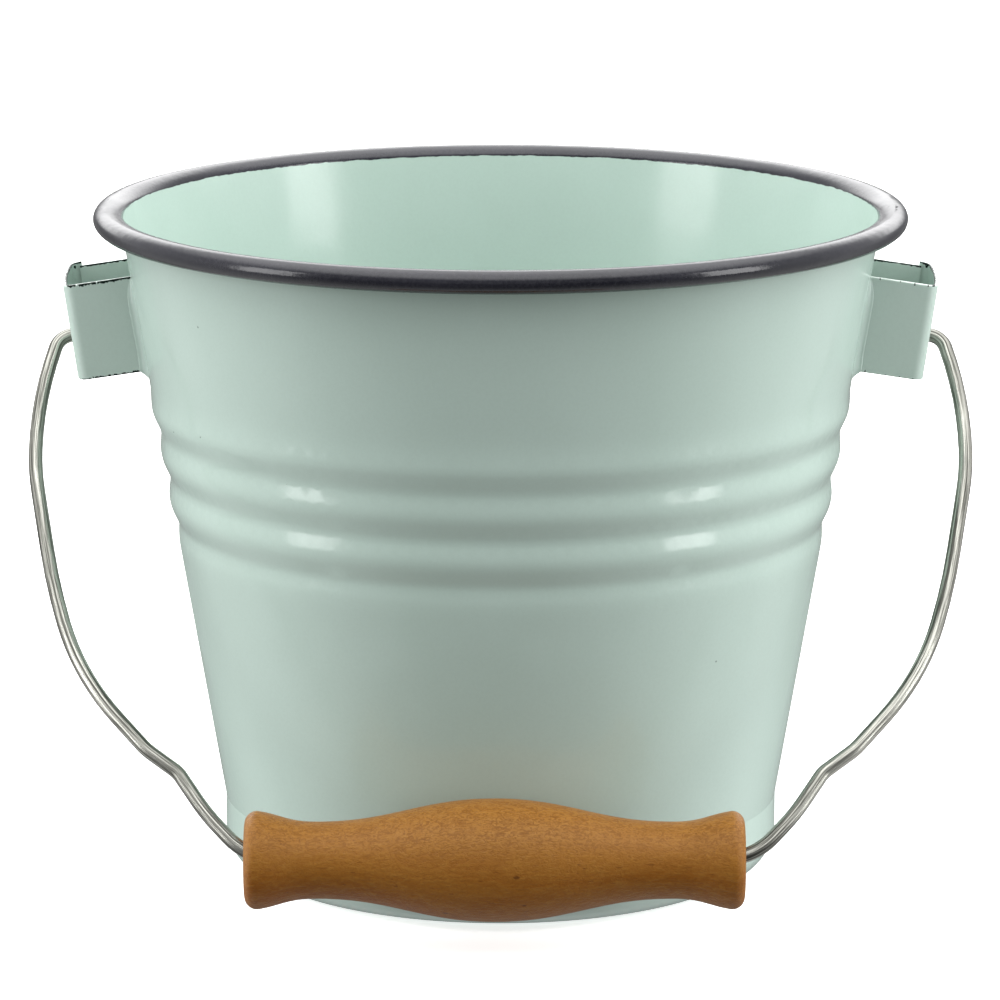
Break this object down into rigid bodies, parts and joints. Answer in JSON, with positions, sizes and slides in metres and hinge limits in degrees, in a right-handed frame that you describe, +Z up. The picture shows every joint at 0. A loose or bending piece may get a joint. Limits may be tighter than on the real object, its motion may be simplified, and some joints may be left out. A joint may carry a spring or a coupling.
{
  "type": "bucket",
  "caption": "Small tapered enamelled steel bucket with a rolled rim, ribbed wall, folded side lugs and a swinging wire bail with a turned wooden grip.",
  "frame": {"origin": "on the bucket's axis, at the surface that it stands on", "axes": "+Z up along the bucket's axis, +X through the right lug, along the bail's pivot axis; the bail hangs on the -Y side, which is the front"},
  "size_m": [0.2124, 0.184, 0.1525],
  "materials": {
    "mint_enamel": "glossy vitreous enamel on sheet steel, pale mint green",
    "grey_enamel": "glossy vitreous enamel on sheet steel, charcoal grey",
    "steel_wire": "drawn steel wire, bright, with lines along its length",
    "grip_wood": "turned hardwood, amber brown, satin varnish"
  },
  "bodies": {
    "bucket": {"bucket_wall": "mint_enamel", "base_pan": "mint_enamel", "rim_bead": "grey_enamel", "rim_wire": "steel_wire", "lug_left": "mint_enamel", "lug_right": "mint_enamel", "lug_weld_left": "mint_enamel", "lug_weld_right": "mint_enamel"},
    "bail": {"bail_wire": "steel_wire"},
    "grip": {"grip": "grip_wood"}
  },
  "joints": [
    {"name": "bail_swing", "type": "hinge", "parent": "bucket", "child": "bail", "pos_m": [0, 0, 0.1223], "axis": [-1, 0, 0], "range_deg": [0, 284.8]},
    {"name": "grip_spin", "type": "hinge", "parent": "bail", "child": "grip", "pos_m": [-0.0013, -0.07809, 0.02075], "axis": [1, 0, 0], "continuous": true}
  ]
}
